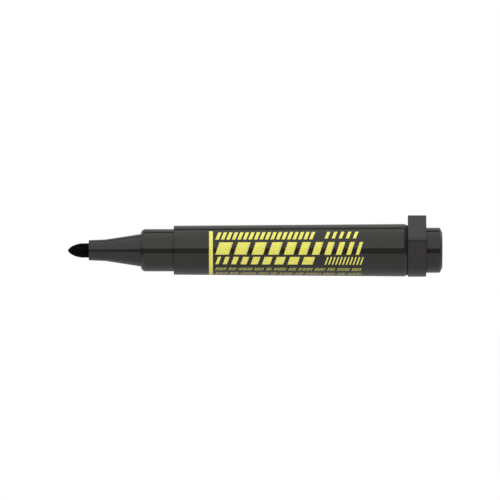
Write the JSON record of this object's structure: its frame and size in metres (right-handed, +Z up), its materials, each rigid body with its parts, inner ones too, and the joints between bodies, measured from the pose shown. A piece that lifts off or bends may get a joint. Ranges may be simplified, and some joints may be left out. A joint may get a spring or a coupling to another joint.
{
  "type": "permanent marker",
  "caption": "Uncapped permanent marker: bullet nib in a tapered nose cone, stepped cap seat, tapered barrel and a rear collar with a magnet that turns on the end plug.",
  "frame": {"origin": "centre of the end plug's flat end face, on the pen's axis", "axes": "+X along the pen from the nib to the end plug, and out of the plug's end face; +Z up; the picture looks along +Y"},
  "size_m": [0.1273, 0.0207, 0.0209],
  "materials": {
    "barrel_plastic": "satin",
    "cone_plastic": "satin",
    "collar_plastic": "satin",
    "nib_fibre": "matte",
    "ink_fibre": "matte",
    "clear_film": "gloss",
    "nickel_plate": "polished",
    "yellow_print": "satin"
  },
  "bodies": {
    "pen": {"nib": "nib_fibre", "nose_cone": "cone_plastic", "barrel": "barrel_plastic", "ink_reservoir": "ink_fibre", "reservoir_film": "clear_film", "end_plug": "cone_plastic"},
    "collar": {"magnet_collar": "collar_plastic", "magnet": "nickel_plate"}
  },
  "joints": [
    {"name": "collar_turn", "type": "hinge", "parent": "pen", "child": "collar", "pos_m": [-0.00859, 0, 0], "axis": [1, 0, 0], "continuous": true}
  ]
}
